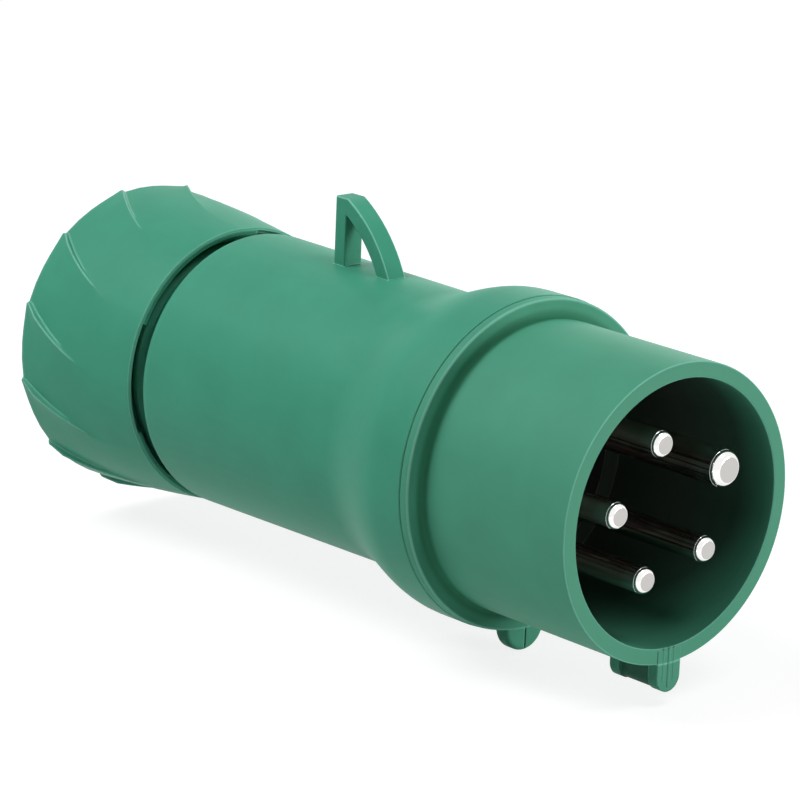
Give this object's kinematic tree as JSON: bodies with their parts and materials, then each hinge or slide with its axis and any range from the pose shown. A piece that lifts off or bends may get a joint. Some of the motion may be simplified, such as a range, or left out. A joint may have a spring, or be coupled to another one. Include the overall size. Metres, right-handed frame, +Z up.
{
  "type": "pin and sleeve plug",
  "caption": "Straight industrial pin and sleeve plug with a keyed round shroud, round contact pins in a black insert, an eye on the body and a ridged gland nut.",
  "frame": {"origin": "on the plug's axis in the plane of the mouth's rim", "axes": "+X out of the mouth towards the connector, +Z up through the eye, the key and the nib point to -Z, +Y to the right seen from the mouth"},
  "size_m": [0.1582, 0.0636, 0.0769],
  "materials": {
    "green_plastic": "satin moulded",
    "black_plastic": "satin moulded",
    "nickel_plate": "nickel plated, polished",
    "steel": "zinc plated",
    "rubber": "matt"
  },
  "bodies": {
    "plug_body": {"mouth_sleeve": "green_plastic", "rear_housing": "green_plastic", "joint_seal": "rubber", "pin_carrier": "black_plastic", "contact_plate": "black_plastic", "phase_pin_1": "nickel_plate", "phase_pin_2": "nickel_plate", "phase_pin_3": "nickel_plate", "neutral_pin": "nickel_plate", "earth_pin": "nickel_plate", "terminal_screws": "steel", "earth_screw": "steel", "wire_clips": "steel", "carrier_screws": "steel", "centre_screw": "steel", "cable_seal": "rubber", "slip_washer": "steel", "clamp_cage": "black_plastic"},
    "thrust_ring_body": {"thrust_ring": "black_plastic"},
    "nut_body": {"gland_nut": "green_plastic"}
  },
  "joints": [
    {"name": "thrust_slide", "type": "slide", "parent": "plug_body", "child": "thrust_ring_body", "axis": [1, 0, 0], "range_m": [-0.008, 0.0025]},
    {"name": "nut_turn", "type": "hinge", "parent": "thrust_ring_body", "child": "nut_body", "pos_m": [-0.14, 0, 0], "axis": [1, 0, 0], "range_deg": [-720, 225]}
  ],
  "couplings": [
    {"joint": "thrust_slide", "follows": "nut_turn", "m_per_rad": 0.0006366}
  ]
}
